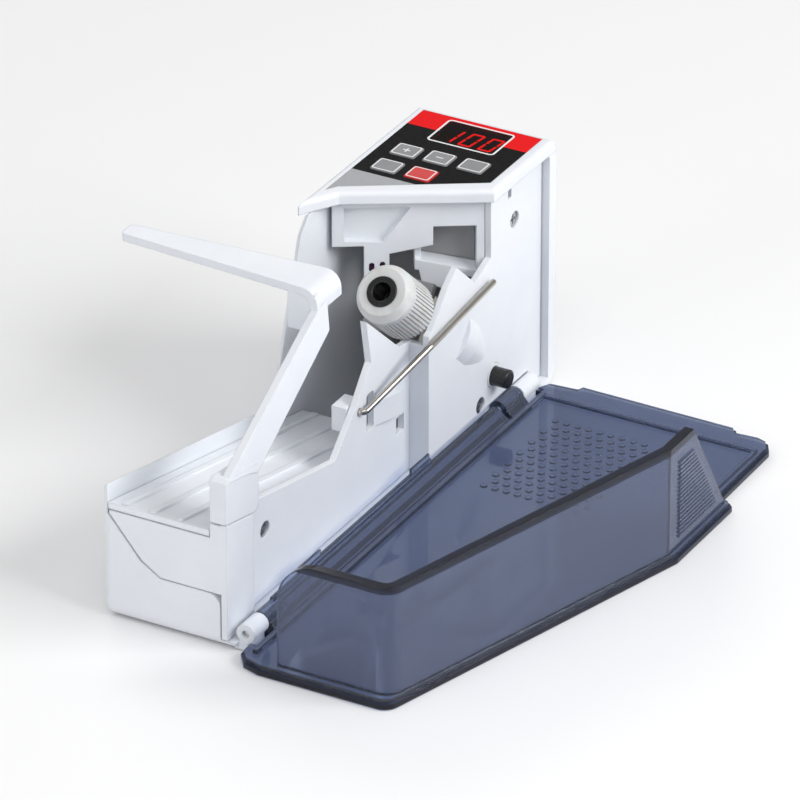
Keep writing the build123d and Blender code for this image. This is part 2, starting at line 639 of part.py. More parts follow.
with BuildPart() as lid_switch:
    add_slab((152.8, 10.2, 15.2), (160.4, 11.2, 21.2))
    with BuildSketch(front_plane(10.3)):
        with Locations(PLUNGER_AT):
            Circle(1.0)
    extrude(amount=1.1)
save(lid_switch, "lid_switch")

# ---- note arm and its hinge pin ------------------------------------------------------------------
ARM_BACK = POST_Y + 5.2
BAND_START = (1.5, POST_Y, 54.5)
BAND_ALONG = Vector(59.8, 4.4, 25.5).normalized()
BAND_ACROSS = Vector(17.5, 0, -2.5).normalized()
BAND_NORMAL = BAND_ACROSS.cross(BAND_ALONG).normalized()
BAR_TOP, BAR_T = 86.0, 2.4
BAR_OUTLINE = [(61.0, 9.0), (75.3, 9.0), (71.6, 75.0), (65.1, 75.0)]
ROOT_RIGHT = 18.7
ROOT_OUTLINE = [
    (0, lip_height(0) - 1), (ROOT_RIGHT, lip_height(ROOT_RIGHT) - 1), (ROOT_RIGHT, 52.6), (1.5, 54.8),
    (0, 53.8),
]

with BuildPart() as note_arm:
    # root block that turns on the pin
    with BuildSketch(front_plane(ARM_BACK)) as root:
        Polygon(*ROOT_OUTLINE, align=None)
        turning_corner = root.vertices().group_by(Axis.X)[-1].sort_by(Axis.Y)[0]
        fillet(turning_corner, radius=2.2)
    extrude(amount=ARM_BACK - POST_Y)
    # band that leans back as it climbs
    with BuildSketch(Plane(origin=body_point(*BAND_START), x_dir=BAND_ALONG, z_dir=BAND_NORMAL)):
        Polygon((-1.5, 0), (65.0, 0), (70.5, -1.2), (66.0, -9.6), (13.0, -11.2), (9.0, -7.5), align=None)
    extrude(amount=-ARM_T)
    # rounded corner over the top, running into the level bar
    with BuildSketch(end_plane(61.0)):
        with BuildLine():
            Polyline((7.2, 78.5), (7.2, 81.0))
            RadiusArc((7.2, 81.0), (12.2, BAR_TOP), 5.0)
            Polyline((12.2, BAR_TOP), (12.2, BAR_TOP - BAR_T))
            RadiusArc((12.2, BAR_TOP - BAR_T), (9.7, 81.0), -2.6)
            Polyline((9.7, 81.0), (9.7, 78.5), (7.2, 78.5))
        make_face()
    extrude(amount=14.3)
    with BuildSketch(level(BAR_TOP - BAR_T)) as bar:
        Polygon((61.0, 12.2), (75.3, 12.2), (71.6, 75.0), (65.1, 75.0), align=None)
        fillet(bar.vertices().group_by(Axis.Y)[-1], radius=1.5)
    extrude(amount=BAR_T)
    # rib inside the corner
    with BuildSketch(end_plane(61.2)):
        Polygon((8.0, 74.0), (8.0, 84.5), (17.0, 84.5), (17.0, 72.0), (9.5, 72.0), align=None)
    extrude(amount=1.6)
    with BuildSketch(front_plane(ARM_BACK + 1)):
        with Locations(ARM_PIVOT):
            Circle(ARM_PIN_R + RUN)
    extrude(amount=ARM_BACK - POST_Y - 0.2, mode=Mode.SUBTRACT)
save(note_arm, "note_arm")

# the pin stands on a lug of its own behind the arm's root
LUG_T = 2.0
with BuildPart() as arm_pivot:
    with BuildSketch(front_plane(HOPPER_FRONT + LUG_T)):
        Polygon((ARM_PIVOT[0] - 4, floor_height(ARM_PIVOT[0] - 4) + CLEAR),
                (ARM_PIVOT[0] + 4, floor_height(ARM_PIVOT[0] + 4) + CLEAR),
                (ARM_PIVOT[0] + 3, ARM_PIVOT[1] + 1), (ARM_PIVOT[0] - 3, ARM_PIVOT[1] + 1), align=None)
        with Locations(ARM_PIVOT):
            Circle(3.0)
    extrude(amount=LUG_T)
    with BuildSketch(front_plane(HOPPER_FRONT + LUG_T)):
        with Locations(ARM_PIVOT):
            Circle(ARM_PIN_R)
    extrude(amount=HOPPER_FRONT + LUG_T - POST_Y - 1.6)
save(arm_pivot, "arm_pivot")

# ---- tray cover ----------------------------------------------------------------------------------
TRAY_OUTLINE = [
    (0.5, -3.2), (-2.6, -3.4), (-6.4, -6.4), (-8.2, -12.0), (-8.2, -54.4), (106.0, -87.2), (140.8, -87.2),
    (142.2, -85.8), (142.8, -82.2), (175.8, -81.8), (179.6, -79.6), (180.8, -76.0), (180.2, -68.8),
    (182.6, -67.3), (183.2, -15.1), (181.2, -14.5), (180.4, -5.5), (176.0, -3.2),
]
WALL_OUTLINE = [(-5.5, 20), (-5.5, -53.6), (104.5, -85.2), (150.0, -85.2), (150.0, 20)]
RIM_START, RIM_END = 118.8, 140.0
RIM_T, RIM_DROP = 3.0, 2.2           # the wall's thicker top edge
CORNER_R = 6.0
NEAR_WALL_EDGE = -17.0
ARC_R = 13.5
TABS = ((34.5, 46.5), (100.5, 111.5))
DIMPLE_R, DIMPLE_PITCH = 1.05, 3.75
RAIL_Z = 7.0                         # top of the rail at the far half of the hinge side
FINGER_RIBS, FINGER_PITCH = 19, 1.35

with BuildPart() as tray_cover:
    with BuildSketch(level(0)) as wall_ring:
        Polygon(*WALL_OUTLINE, align=None)
        near_corner = wall_ring.vertices().sort_by(Axis.X)[:2].sort_by(Axis.Y)[0]
        fillet(near_corner, radius=CORNER_R)
        offset(amount=-TRAY_WALL_T, mode=Mode.SUBTRACT)
    extrude(amount=TRAY_HEIGHT)
    with BuildSketch(level(TRAY_HEIGHT - RIM_DROP)) as rim_ring:
        Polygon(*WALL_OUTLINE, align=None)
        near_corner = rim_ring.vertices().sort_by(Axis.X)[:2].sort_by(Axis.Y)[0]
        fillet(near_corner, radius=CORNER_R)
        offset(amount=-RIM_T, mode=Mode.SUBTRACT)
    extrude(amount=RIM_DROP)
    add_slab((-10, -16 - 1, -1), (160, 25, 40), mode=Mode.SUBTRACT)
    with BuildSketch(front_plane(30)):
        Polygon((RIM_START, TRAY_HEIGHT), (RIM_END, TRAY_T), (RIM_END, -1), (170, -1), (170, TRAY_HEIGHT + 1),
                (RIM_START, TRAY_HEIGHT + 1), align=None)
    extrude(amount=130, mode=Mode.SUBTRACT)
    with BuildSketch(end_plane(-9)):
        with BuildLine():
            Line((NEAR_WALL_EDGE - ARC_R, TRAY_HEIGHT), (NEAR_WALL_EDGE + 1, TRAY_HEIGHT))
            Line((NEAR_WALL_EDGE + 1, TRAY_HEIGHT), (NEAR_WALL_EDGE + 1, TRAY_HEIGHT - ARC_R))
            Line((NEAR_WALL_EDGE + 1, TRAY_HEIGHT - ARC_R), (NEAR_WALL_EDGE, TRAY_HEIGHT - ARC_R))
            RadiusArc((NEAR_WALL_EDGE, TRAY_HEIGHT - ARC_R), (NEAR_WALL_EDGE - ARC_R, TRAY_HEIGHT), -ARC_R)
        make_face()
    extrude(amount=9, mode=Mode.SUBTRACT)
    with BuildSketch(level(0)) as floor_sketch:
        Polygon(*TRAY_OUTLINE, align=None)
        outer_corners = floor_sketch.vertices().group_by(Axis.X)[0].sort_by(Axis.Y)[0]
        fillet(outer_corners, radius=5)
    extrude(amount=TRAY_EDGE_T)
    with BuildSketch(level(TRAY_EDGE_T - 0.2)) as inner_floor:
        Polygon(*TRAY_OUTLINE, align=None)
        fillet(inner_floor.vertices().group_by(Axis.X)[0].sort_by(Axis.Y)[0], radius=5)
        offset(amount=-0.9, mode=Mode.REPLACE)
    extrude(amount=TRAY_T - TRAY_EDGE_T + 0.2)
    # room round the hinge bosses, and the knuckles beside them
    for low, high in BOSSES:
        add_slab((low - 0.6, -6.2, -1), (high + 0.6, 0, 9), mode=Mode.SUBTRACT)
    for low, high in KNUCKLES:
        with BuildSketch(end_plane(low)):
            with Locations((HINGE_Y, HINGE_Z)):
                Circle(HINGE_R)
            Polygon((-7.5, 0), (-3.2, 0), (HINGE_Y, HINGE_Z - HINGE_R), (HINGE_Y - 1, HINGE_Z + HINGE_R - 0.2),
                    (-7.5, TRAY_T), align=None)
        extrude(amount=high - low)
        with BuildSketch(end_plane(low - 1)):
            with Locations((HINGE_Y, HINGE_Z)):
                Circle(PIN_R + RUN)
        extrude(amount=high - low + 2, mode=Mode.SUBTRACT)
    # rail between the knuckles, sloping down to the floor, higher where the front panel is recessed
    with BuildSketch(end_plane(KNUCKLES[0][1] - 0.5)):
        Polygon((-8.0, 0), (-3.2, 0), (-1.0, 3.6), (-1.0, RAIL_Z), (-2.4, RAIL_Z),
                (-7.6, TRAY_T + 0.4), align=None)
    extrude(amount=KNUCKLES[1][0] - KNUCKLES[0][1] - 1.2)
    with BuildSketch(end_plane(KNUCKLES[0][1] - 4)):
        Polygon((-2.8, RAIL_Z - 0.4), (-1.2, RAIL_Z - 0.4), (-1.2, 9.2), (-2.2, 9.2), align=None)
    extrude(amount=STEP_X - KNUCKLES[0][1] + 2.4)
    for low, high in TABS:
        with BuildSketch(end_plane(low)):
            Polygon((-1.9, RAIL_Z), (-1.2, RAIL_Z), (-1.2, 10.8), (-1.9, 10.8), align=None)
        extrude(amount=high - low)
    # raised beads along the hinge side and the far side
    add_slab((-2.5, -8.8, TRAY_T - 0.5), (171.8, -7.2, TRAY_T + 1.3))
    add_slab((170.4, -80.0, TRAY_T - 0.5), (171.8, -7.2, TRAY_T + 1.1))
    add_slab((143.5, -80.0, TRAY_T - 0.5), (171.8, -78.8, TRAY_T + 0.9))
    # field of dimples at the far end of the tray's floor
    with BuildSketch(level(TRAY_T - 0.3)):
        for row in range(9):
            for column in range(13):
                stagger = DIMPLE_PITCH / 2 * (column % 2)
                with Locations((114.5 + column * DIMPLE_PITCH, -18.5 - row * DIMPLE_PITCH - stagger)):
                    Circle(DIMPLE_R)
    extrude(amount=0.6)
    # fine finger ribs on the wall that is parallel to the hinge
    for row in range(FINGER_RIBS):
        z = 6.8 + row * FINGER_PITCH
        end = RIM_END - 4.2 - (z - TRAY_T) * (RIM_END - RIM_START) / (TRAY_HEIGHT - TRAY_T)
        add_slab((109.7, -85.75, z - 0.35), (end, -85.0, z + 0.35))
save(tray_cover, "tray_cover")

with BuildPart() as hinge_pins:
    for low, high in ((BOSSES[0][0] + 1, KNUCKLES[0][1] - 1), (KNUCKLES[1][0] + 1, BOSSES[1][1] - 1)):
        with BuildSketch(end_plane(low)):
            with Locations((HINGE_Y, HINGE_Z)):
                Circle(PIN_R)
        extrude(amount=high - low)
save(hinge_pins, "hinge_pins")

# ---- power and boards ----------------------------------------------------------------------------
BOX_LOW, BOX_HIGH = (155.0, 12.0, 3.0), (185.2, 41.5, 58.6)
with BuildPart() as battery_box:
    add_slab(BOX_LOW, BOX_HIGH)
    add_slab((BOX_LOW[0] + 0.6, BOX_LOW[1] + 0.5, BOX_LOW[2] + 1), (BOX_HIGH[0] - 0.6, 50, BOX_HIGH[2] - 1),
             mode=Mode.SUBTRACT)
save(battery_box, "battery_box")

CELL_Z = 5.6
with BuildPart() as battery_cells:
    for x in CELL_X:
        for y in CELL_Y:
            with BuildSketch(level(CELL_Z)):
                with Locations((x, y)):
                    Circle(CELL_R)
            extrude(amount=CELL_LENGTH - 1)
            with BuildSketch(level(CELL_Z + CELL_LENGTH - 1)):
                with Locations((x, y)):
                    Circle(2.6)
            extrude(amount=1)
save(battery_cells, "battery_cells")

with BuildPart() as battery_contacts:
    for x in CELL_X:
        for y in CELL_Y:
            for low in (BOX_LOW[2] + 1.05, CELL_Z + CELL_LENGTH + 0.3):
                add_slab((x - 4, y - 4, low), (x + 4, y + 4, low + 0.5))
save(battery_contacts, "battery_contacts")

with BuildPart() as battery_door:
    with BuildSketch(front_plane(BODY_BACK)):
        with Locations(((DOOR[0] + DOOR[2]) / 2, (DOOR[1] + DOOR[3]) / 2)):
            RectangleRounded(DOOR[2] - DOOR[0], DOOR[3] - DOOR[1], 1.3)
    extrude(amount=WALL - 0.1)
    # finger grip: a row of ridges sunk into the door's upper end
    with BuildSketch(front_plane(BODY_BACK - 0.5)):
        with Locations(*[((DOOR[0] + DOOR[2]) / 2, DOOR[3] - 5 - row * 2.4) for row in range(4)]):
            SlotOverall(14, 1.2)
    extrude(amount=-2, mode=Mode.SUBTRACT)
save(battery_door, "battery_door")

with BuildPart() as dc_jack:
    add_slab((JACK_AT[0] - 4.5, BODY_BACK - WALL - 11, JACK_AT[1] - 5.2),
             (JACK_AT[0] + 4.5, BODY_BACK - WALL - 0.1, JACK_AT[1] + 5.2))
    with BuildSketch(front_plane(BODY_BACK - 0.4)):
        with Locations(JACK_AT):
            Circle(3.5)
    extrude(amount=WALL)
    with BuildSketch(front_plane(BODY_BACK)):
        with Locations(JACK_AT):
            Circle(2.75)
    extrude(amount=9.5, mode=Mode.SUBTRACT)
    with BuildSketch(front_plane(BODY_BACK - 1.5)):
        with Locations(JACK_AT):
            Circle(1.0)
    extrude(amount=9)
save(dc_jack, "dc_jack")

with BuildPart() as main_board:
    add_slab((5, 10, 4.6), (78, 40.5, 6.2))
    for low, high in (((12, 14, 6.2), (24, 26, 7.8)), ((34, 16, 6.2), (41, 21, 8.0)),
                      ((48, 14, 6.2), (56, 20, 10.5)), ((62, 24, 6.2), (68, 34, 12.0))):
        add_slab(low, high)
save(main_board, "main_board")

with BuildPart() as housing_screws:
    for x, z, y in SCREWS_FRONT.values():
        with BuildSketch(front_plane(y + PANEL_T)):
            with Locations((x, z)):
                Circle(2.6)
        extrude(amount=PANEL_T - 0.6)
        with BuildSketch(front_plane(y + PANEL_T - 1.0)):
            with Locations((x, z)):
                Rectangle(3.2, 0.7)
                Rectangle(0.7, 3.2)
        extrude(amount=2, mode=Mode.SUBTRACT)
save(housing_screws, "housing_screws")
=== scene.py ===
from math import cos, pi, radians, sin

import bmesh
import bpy
from mathutils import Matrix, Vector


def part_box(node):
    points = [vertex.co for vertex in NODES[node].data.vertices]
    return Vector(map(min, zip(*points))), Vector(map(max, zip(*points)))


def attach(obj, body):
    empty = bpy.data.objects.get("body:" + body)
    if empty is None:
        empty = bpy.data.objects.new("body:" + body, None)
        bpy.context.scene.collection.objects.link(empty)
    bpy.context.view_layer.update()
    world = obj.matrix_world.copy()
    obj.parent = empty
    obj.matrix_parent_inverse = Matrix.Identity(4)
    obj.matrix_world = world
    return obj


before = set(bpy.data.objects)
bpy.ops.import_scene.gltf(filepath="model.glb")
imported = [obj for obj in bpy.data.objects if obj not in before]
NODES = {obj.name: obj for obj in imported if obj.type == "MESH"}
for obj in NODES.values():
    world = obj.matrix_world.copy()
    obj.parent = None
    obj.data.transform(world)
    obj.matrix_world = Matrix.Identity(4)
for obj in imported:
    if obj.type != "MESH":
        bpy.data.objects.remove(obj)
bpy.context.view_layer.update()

X0, Y0 = -0.094, -0.022      # the body's near front corner in the shared frame, in metres


def body(x, y, z):
    """A point counted in millimetres from the body's near front corner, in the shared frame."""
    return Vector((X0 + x / 1000, Y0 + y / 1000, z / 1000))


# ---- camera --------------------------------------------------------------------------------------
camera_data = bpy.data.cameras.new("camera")
camera_data.lens = 360.0
camera_data.sensor_width = 36.0
camera_data.clip_end = 20.0
camera = bpy.data.objects.new("camera", camera_data)
bpy.context.collection.objects.link(camera)
RIGHT = Vector((0.48481, -0.87462, 0))
UP = Vector((0.42068, 0.23319, 0.87673))
FORWARD = Vector((0.76680, 0.42505, -0.48099))
CAMERA_AT = (-1.7893, -1.0155, 1.1596)
turn = Matrix((RIGHT, UP, -FORWARD)).transposed().to_4x4()
camera.matrix_world = Matrix.Translation(CAMERA_AT) @ turn
bpy.context.scene.camera = camera


# ---- material tools ------------------------------------------------------------------------------
class Shader:
    """A material whose nodes are added one call at a time."""

    def __init__(self, name):
        self.material = bpy.data.materials.new(name)
        self.material.use_nodes = True
        self.tree = self.material.node_tree
        self.tree.nodes.clear()
        self.out = self.tree.nodes.new("ShaderNodeOutputMaterial")
        self.coords = self.tree.nodes.new("ShaderNodeTexCoord").outputs["Object"]

    def put(self, socket, value):
        """Link a socket to another's output, or set its value."""
        if isinstance(value, bpy.types.NodeSocket):
            self.tree.links.new(value, socket)
        else:
            socket.default_value = value

    def node(self, kind, settings=None, **inputs):
        made = self.tree.nodes.new("ShaderNode" + kind)
        for key, value in (settings or {}).items():
            setattr(made, key, value)
        for key, value in inputs.items():
            self.put(made.inputs[key.replace("_", " ")], value)
        return made

    def math(self, operation, a, b=0.0, clamp=False):
        made = self.tree.nodes.new("ShaderNodeMath")
        made.operation = operation
        made.use_clamp = clamp
        self.put(made.inputs[0], a)
        self.put(made.inputs[1], b)
        return made.outputs[0]

    def ramp(self, value, low, high, to_low=0.0, to_high=1.0):
        made = self.node("MapRange", {"clamp": True}, Value=value)
        for key, number in (("From Min", low), ("From Max", high), ("To Min", to_low), ("To Max", to_high)):
            made.inputs[key].default_value = number
        return made.outputs["Result"]

    def noise(self, scale, detail=3.0, roughness=0.5, stretch=None):
        coords = self.coords
        if stretch:
            coords = self.node("Mapping", None, Vector=coords, Scale=stretch).outputs["Vector"]
        made = self.node("TexNoise", None, Vector=coords, Scale=scale, Detail=detail, Roughness=roughness)
        return made.outputs["Fac"]

    def mix(self, factor, a, b):
        made = self.node("Mix", {"data_type": "RGBA"})
        self.put(made.inputs[0], factor)
        for index, value in ((6, a), (7, b)):
            if not isinstance(value, bpy.types.NodeSocket):
                value = (*value, 1.0)
            self.put(made.inputs[index], value)
        return made.outputs[2]

    def edges(self, radius):
        """0 on flat faces, 1 along edges of about that radius."""
        bevel = self.node("Bevel", {"samples": 6}, Radius=radius).outputs["Normal"]
        flat = self.node("NewGeometry").outputs["Normal"]
        dot = self.node("VectorMath", {"operation": "DOT_PRODUCT"})
        self.put(dot.inputs[0], bevel)
        self.put(dot.inputs[1], flat)
        return self.ramp(dot.outputs["Value"], 0.985, 0.80), bevel

    def bump(self, height, distance, strength=1.0, normal=None):
        made = self.node("Bump", None, Height=height, Distance=distance, Strength=strength)
        if normal is not None:
            self.put(made.inputs["Normal"], normal)
        return made.outputs["Normal"]

    def finish(self, **inputs):
        """The surface: one Principled shader with these inputs."""
        bsdf = self.node("BsdfPrincipled")
        for key, value in inputs.items():
            if isinstance(value, tuple) and len(value) == 3:
                value = (*value, 1.0)
            self.put(bsdf.inputs[key.replace("_", " ")], value)
        self.put(self.out.inputs["Surface"], bsdf.outputs["BSDF"])


def plastic(name, light, dark, rough=(0.30, 0.44), grain=0.00004, grain_scale=1400, scuffs=0.5,
            edge=0.0005, edge_tint=None):
    """Moulded plastic: faint tone drift, fine grain, rubbed edges and a few dull scuffs."""
    s = Shader(name)
    drift = s.noise(22, 4, 0.6)
    fine = s.noise(260, 5, 0.65)
    colour = s.mix(s.ramp(drift, 0.35, 0.7), light, dark)
    scuff = s.ramp(s.noise(95, 8, 0.72, (1, 1, 3.2)), 0.60, 0.74)
    colour = s.mix(s.math("MULTIPLY", scuff, 0.22 * scuffs), colour, tuple(c * 0.62 for c in dark))
    edge_mask, round_normal = s.edges(edge)
    worn = s.math("MULTIPLY", edge_mask, s.ramp(fine, 0.38, 0.62, 0.15, 0.55))
    colour = s.mix(worn, colour, edge_tint or tuple(min(1.0, c * 1.12) for c in light))
    roughness = s.ramp(fine, 0.3, 0.7, rough[0], rough[1])
    roughness = s.math("ADD", roughness, s.math("MULTIPLY", scuff, 0.22 * scuffs))
    roughness = s.math("ADD", roughness, s.math("MULTIPLY", worn, 0.12), clamp=True)
    normal = s.bump(s.noise(grain_scale, 2, 0.5), grain, 0.55, round_normal)
    normal = s.bump(s.noise(45, 2, 0.4), 0.0002, 0.10, normal)
    s.finish(Base_Color=colour, Roughness=roughness, Normal=normal, IOR=1.49)
    return s.material


def metal(name, colour, rough=(0.10, 0.22), stretch=(1, 1, 1), scale=900, depth=0.00001, tarnish=0.35):
    """Metal with drawn or turned lines, slight tarnish and uneven polish."""
    s = Shader(name)
    lines = s.noise(scale, 3, 0.6, stretch)
    patches = s.noise(180, 5, 0.6)
    tarnished = s.math("MULTIPLY", s.ramp(patches, 0.45, 0.75), tarnish)
    tone = s.mix(tarnished, colour, tuple(c * 0.55 for c in colour))
    uneven = s.math("ADD", s.math("MULTIPLY", lines, 0.6), s.math("MULTIPLY", patches, 0.4))
    roughness = s.ramp(uneven, 0.3, 0.7, *rough)
    edge_mask, round_normal = s.edges(0.0002)
    tone = s.mix(s.math("MULTIPLY", edge_mask, 0.3), tone, tuple(min(1.0, c * 1.25) for c in colour))
    s.finish(Base_Color=tone, Metallic=1.0, Roughness=roughness,
             Normal=s.bump(lines, depth, 0.7, round_normal))
    return s.material


WHITE = plastic("white_abs", (0.80, 0.825, 0.865), (0.735, 0.765, 0.815))
# painted shade: this grey also stands in for the shade inside the recess and behind the roller
GREY_INNER = plastic("grey_inner", (0.31, 0.315, 0.325), (0.24, 0.245, 0.25), rough=(0.4, 0.6))
BLACK = plastic("black_plastic", (0.012, 0.012, 0.013), (0.007, 0.007, 0.008), rough=(0.20, 0.34), scuffs=0.6,
                edge_tint=(0.07, 0.07, 0.075))
BOARD_BLACK = plastic("moulded_black", (0.03, 0.03, 0.03), (0.02, 0.02, 0.02), rough=(0.4, 0.6),
                      edge_tint=(0.06, 0.06, 0.06))
NYLON = plastic("nylon", (0.76, 0.74, 0.66), (0.68, 0.66, 0.58), rough=(0.35, 0.5), grain=0.00002)
STEEL = metal("ground_steel", (0.60, 0.60, 0.60), (0.18, 0.32), (3, 3, 3))
BRASS = metal("machined_brass", (0.72, 0.52, 0.20), (0.2, 0.35))
CAN = metal("drawn_can", (0.46, 0.46, 0.47), (0.28, 0.42), (1, 6, 1))
PLATED = metal("plated_steel", (0.52, 0.52, 0.54), (0.15, 0.30))
WIRE = metal("polished_wire", (0.50, 0.475, 0.43), (0.10, 0.20), (0.12, 1, 0.6), 2200, 0.000006, 0.25)


def smoky_clear():
    """Smoky blue-grey moulding, darker where it is thick, with painted shade on the wall's rim and the
    floor's lip, fine scratches and finger haze.
    """
    s = Shader("smoke_clear")
    scratch_a = s.ramp(s.noise(420, 4, 0.6, (0.05, 1.0, 1.0)), 0.64, 0.72)
    scratch_b = s.ramp(s.noise(380, 4, 0.6, (1.0, 0.06, 1.0)), 0.66, 0.74)
    scratches = s.math("MAXIMUM", scratch_a, scratch_b)
    haze = s.ramp(s.noise(26, 6, 0.62), 0.42, 0.72)
    edge_mask, round_normal = s.edges(0.0005)
    roughness = s.math("ADD", s.math("MULTIPLY", haze, 0.07), 0.02)
    roughness = s.math("ADD", roughness, s.math("MULTIPLY", scratches, 0.10))
    roughness = s.math("ADD", roughness, s.math("MULTIPLY", edge_mask, 0.08))
    normal = s.bump(s.noise(60, 2, 0.4), 0.0002, 0.08, round_normal)
    normal = s.bump(scratches, 0.00001, 0.25, normal)
    tint = s.mix(s.math("MULTIPLY", haze, 0.25), (0.49, 0.56, 0.74), (0.42, 0.49, 0.66))
    # heights, in metres, of the rim along the wall and the lip round the floor; both get painted shade, a
    # near-black navy tint that stands in for their dark look
    rim_low, rim_high = 0.0355, 0.0358
    lip_low, lip_high = 0.0002, 0.00172
    height = s.node("SeparateXYZ", None, Vector=s.coords).outputs["Z"]
    above_ground = s.ramp(height, lip_low, 2 * lip_low)
    lip = s.math("MULTIPLY", above_ground, s.ramp(height, lip_high + 0.00008, lip_high))
    rim_and_lip_shade = s.math("MAXIMUM", s.ramp(height, rim_low, rim_high), lip)
    # painted shade: the rim and the lip are tinted near-black navy
    tint = s.mix(rim_and_lip_shade, tint, (0.02, 0.028, 0.065))
    roughness = s.math("ADD", roughness, s.math("MULTIPLY", rim_and_lip_shade, 0.05))
    glass = s.node("BsdfPrincipled")
    s.put(glass.inputs["Base Color"], tint)
    s.put(glass.inputs["Roughness"], roughness)
    s.put(glass.inputs["Normal"], normal)
    s.put(glass.inputs["Transmission Weight"], 0.93)
    s.put(glass.inputs["IOR"], 1.42)
    through = s.node("BsdfTransparent", None, Color=(0.54, 0.57, 0.65, 1.0))
    shade = s.node("MixShader")
    s.put(shade.inputs[0], s.node("LightPath").outputs["Is Shadow Ray"])
    s.put(shade.inputs[1], glass.outputs["BSDF"])
    s.put(shade.inputs[2], through.outputs["BSDF"])
    s.put(s.out.inputs["Surface"], shade.outputs["Shader"])
    volume = s.node("VolumeAbsorption", None, Color=(0.22, 0.27, 0.38, 1.0), Density=220.0)
    s.put(s.out.inputs["Volume"], volume.outputs["Volume"])
    return s.material


def window_glass():
    """Dark red filter over the display."""
    s = Shader("dark_window")
    smear = s.noise(300, 5, 0.6)
    glass = s.node("BsdfPrincipled")
    tint = s.mix(s.math("MULTIPLY", smear, 0.4), (0.20, 0.04, 0.04), (0.15, 0.03, 0.03))
    s.put(glass.inputs["Base Color"], tint)
    s.put(glass.inputs["Roughness"], s.ramp(smear, 0.35, 0.7, 0.02, 0.09))
    s.put(glass.inputs["Normal"], s.bump(s.noise(120, 2, 0.4), 0.0001, 0.05))
    s.put(glass.inputs["Transmission Weight"], 1.0)
    s.put(glass.inputs["IOR"], 1.15)
    s.put(s.out.inputs["Surface"], glass.outputs["BSDF"])
    return s.material


def label_film():
    """Printed film on the display cover: red band at the far end, black middle, silver-grey near end."""
    black_from, red_from, blur = 0.048, 0.082, 0.00005      # along x, in metres
    s = Shader("label_film")
    place = s.node("SeparateXYZ", None, Vector=s.coords)
    x = place.outputs["X"]
    fibre = s.noise(700, 4, 0.6)
    red = s.mix(fibre, (0.72, 0.003, 0.005), (0.80, 0.006, 0.008))
    black = s.mix(fibre, (0.003, 0.003, 0.003), (0.006, 0.005, 0.006))
    silver = s.mix(fibre, (0.34, 0.35, 0.37), (0.41, 0.42, 0.44))
    colour = s.mix(s.ramp(x, black_from - blur, black_from + blur), silver, black)
    colour = s.mix(s.ramp(x, red_from - blur, red_from + blur), colour, red)
    scuff = s.ramp(s.noise(120, 8, 0.7), 0.60, 0.78)
    colour = s.mix(s.math("MULTIPLY", scuff, 0.05), colour, (0.10, 0.10, 0.11))
    edge_mask, round_normal = s.edges(0.00015)
    colour = s.mix(s.math("MULTIPLY", edge_mask, 0.35), colour, (0.6, 0.6, 0.62))
    roughness = s.math("ADD", s.ramp(fibre, 0.3, 0.7, 0.40, 0.55), s.math("MULTIPLY", scuff, 0.2))
    s.finish(Base_Color=colour, Roughness=roughness, Specular_IOR_Level=0.06,
             Normal=s.bump(s.noise(1800, 2, 0.5), 0.00002, 0.4, round_normal))
    return s.material


def key_film(name, light, dark):
    """Key tops: finely grained film, rubbed paler along the edges."""
    return plastic(name, light, dark, rough=(0.32, 0.46), grain=0.00003, grain_scale=2200, scuffs=0.7,
                   edge=0.0003, edge_tint=(0.66, 0.67, 0.69))


def print_ink(name, colour):
    """Screen-printed ink with worn specks."""
    s = Shader(name)
    specks = s.ramp(s.noise(1500, 4, 0.7), 0.58, 0.70)
    tone = s.mix(s.math("MULTIPLY", specks, 0.45), colour, tuple(c * 0.55 for c in colour))
    s.finish(Base_Color=tone, Roughness=s.ramp(specks, 0, 1, 0.45, 0.65),
             Normal=s.bump(specks, 0.00002, 0.3))
    return s.material


def lit_segment(name, colour, strength):
    """A lit bar of the display, a little uneven along its length."""
    s = Shader(name)
    uneven = s.ramp(s.noise(900, 3, 0.5), 0.3, 0.7, 0.75, 1.0)
    glow = s.mix(uneven, tuple(c * 0.6 for c in colour), colour)
    s.finish(Base_Color=(0.3, 0.01, 0.01), Roughness=s.ramp(uneven, 0.75, 1, 0.4, 0.55),
             Emission_Color=glow, Emission_Strength=strength)
    return s.material


def roller_rubber():
    """Off-white rubber, a little soiled between the ribs and shiny where notes rub it."""
    s = Shader("roller_rubber")
    grime = s.noise(140, 7, 0.68)
    colour = s.mix(s.ramp(grime, 0.42, 0.72), (0.66, 0.67, 0.675), (0.56, 0.56, 0.545))
    edge_mask, round_normal = s.edges(0.00025)
    colour = s.mix(s.math("MULTIPLY", edge_mask, 0.35), colour, (0.52, 0.525, 0.525))
    s.finish(Base_Color=colour, Roughness=s.ramp(grime, 0.3, 0.75, 0.48, 0.72),
             Subsurface_Weight=0.12, Subsurface_Scale=0.002,
             Normal=s.bump(s.noise(2600, 3, 0.6), 0.00004, 0.6, round_normal))
    return s.material


def circuit_green():
    """Circuit board: green lacquer over traces, with pale solder specks."""
    s = Shader("board_green")
    bricks = s.node("TexBrick", {"offset": 0.5}, Vector=s.coords, Scale=160.0, Mortar_Size=0.03)
    traces = bricks.outputs["Fac"]
    colour = s.mix(traces, (0.012, 0.10, 0.045), (0.03, 0.19, 0.08))
    colour = s.mix(s.ramp(s.noise(300, 4, 0.6), 0.62, 0.7), colour, (0.4, 0.38, 0.30))
    s.finish(Base_Color=colour, Roughness=s.ramp(s.noise(200), 0.3, 0.7, 0.28, 0.45),
             Normal=s.bump(traces, 0.00003, 0.4))
    return s.material


